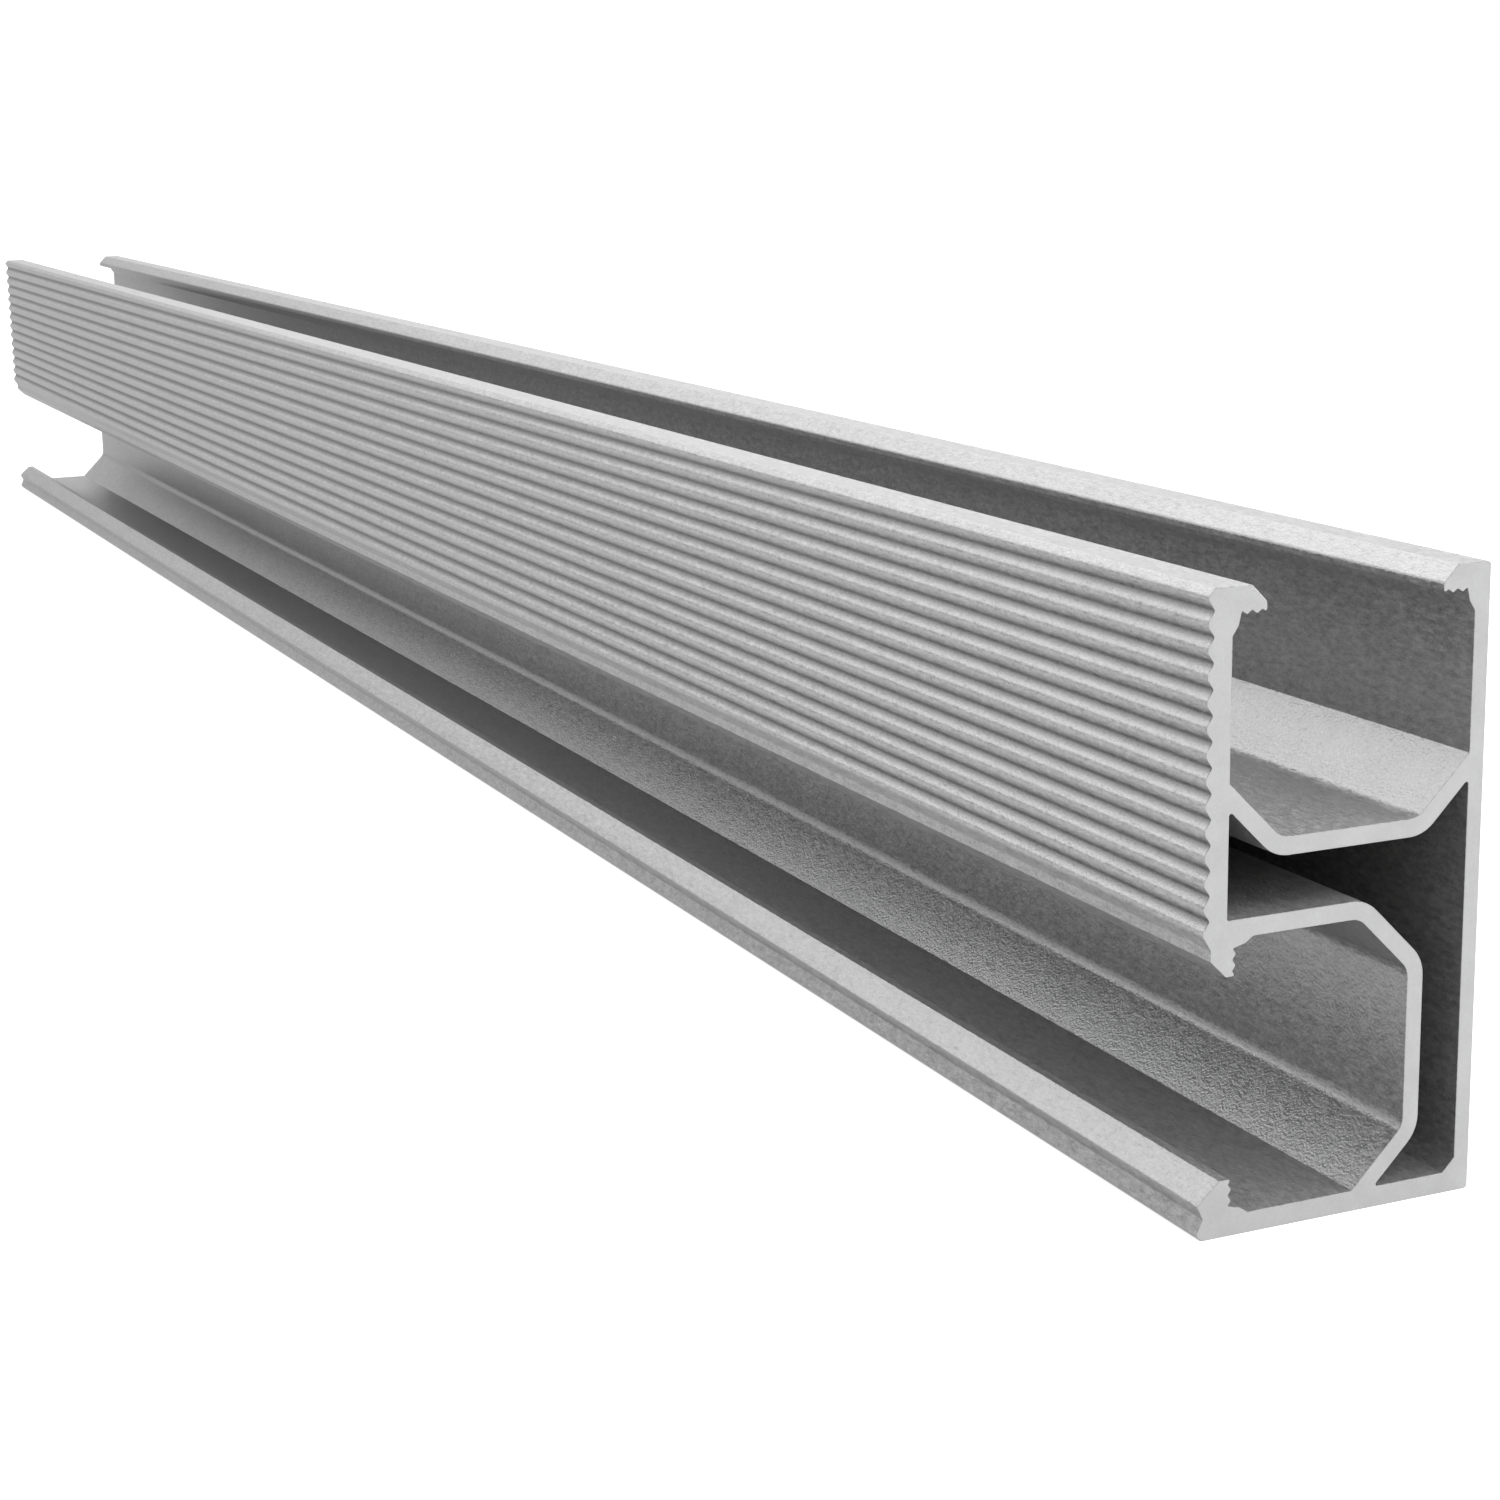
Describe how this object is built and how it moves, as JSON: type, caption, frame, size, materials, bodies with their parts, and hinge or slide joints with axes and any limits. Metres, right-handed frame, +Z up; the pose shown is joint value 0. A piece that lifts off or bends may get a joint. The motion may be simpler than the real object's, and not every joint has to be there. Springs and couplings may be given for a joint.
{
  "type": "solar mounting rail",
  "caption": "Extruded aluminium mounting rail with an open bolt channel on top, a second in its ribbed front, toothed lips, a plain rear wall and a closed chamber behind the channels.",
  "frame": {"origin": "middle of the underside, at the bottom centre of the rail's box", "axes": "+X along the rail, +Y from the ribbed front with the side channel to the plain rear wall, +Z up out of the top channel"},
  "size_m": [0.578, 0.03, 0.06],
  "materials": {
    "mill_aluminium": "matt extruded aluminium with fine die lines and sawn ends"
  },
  "bodies": {
    "root": {"rail": "mill_aluminium"}
  },
  "joints": []
}
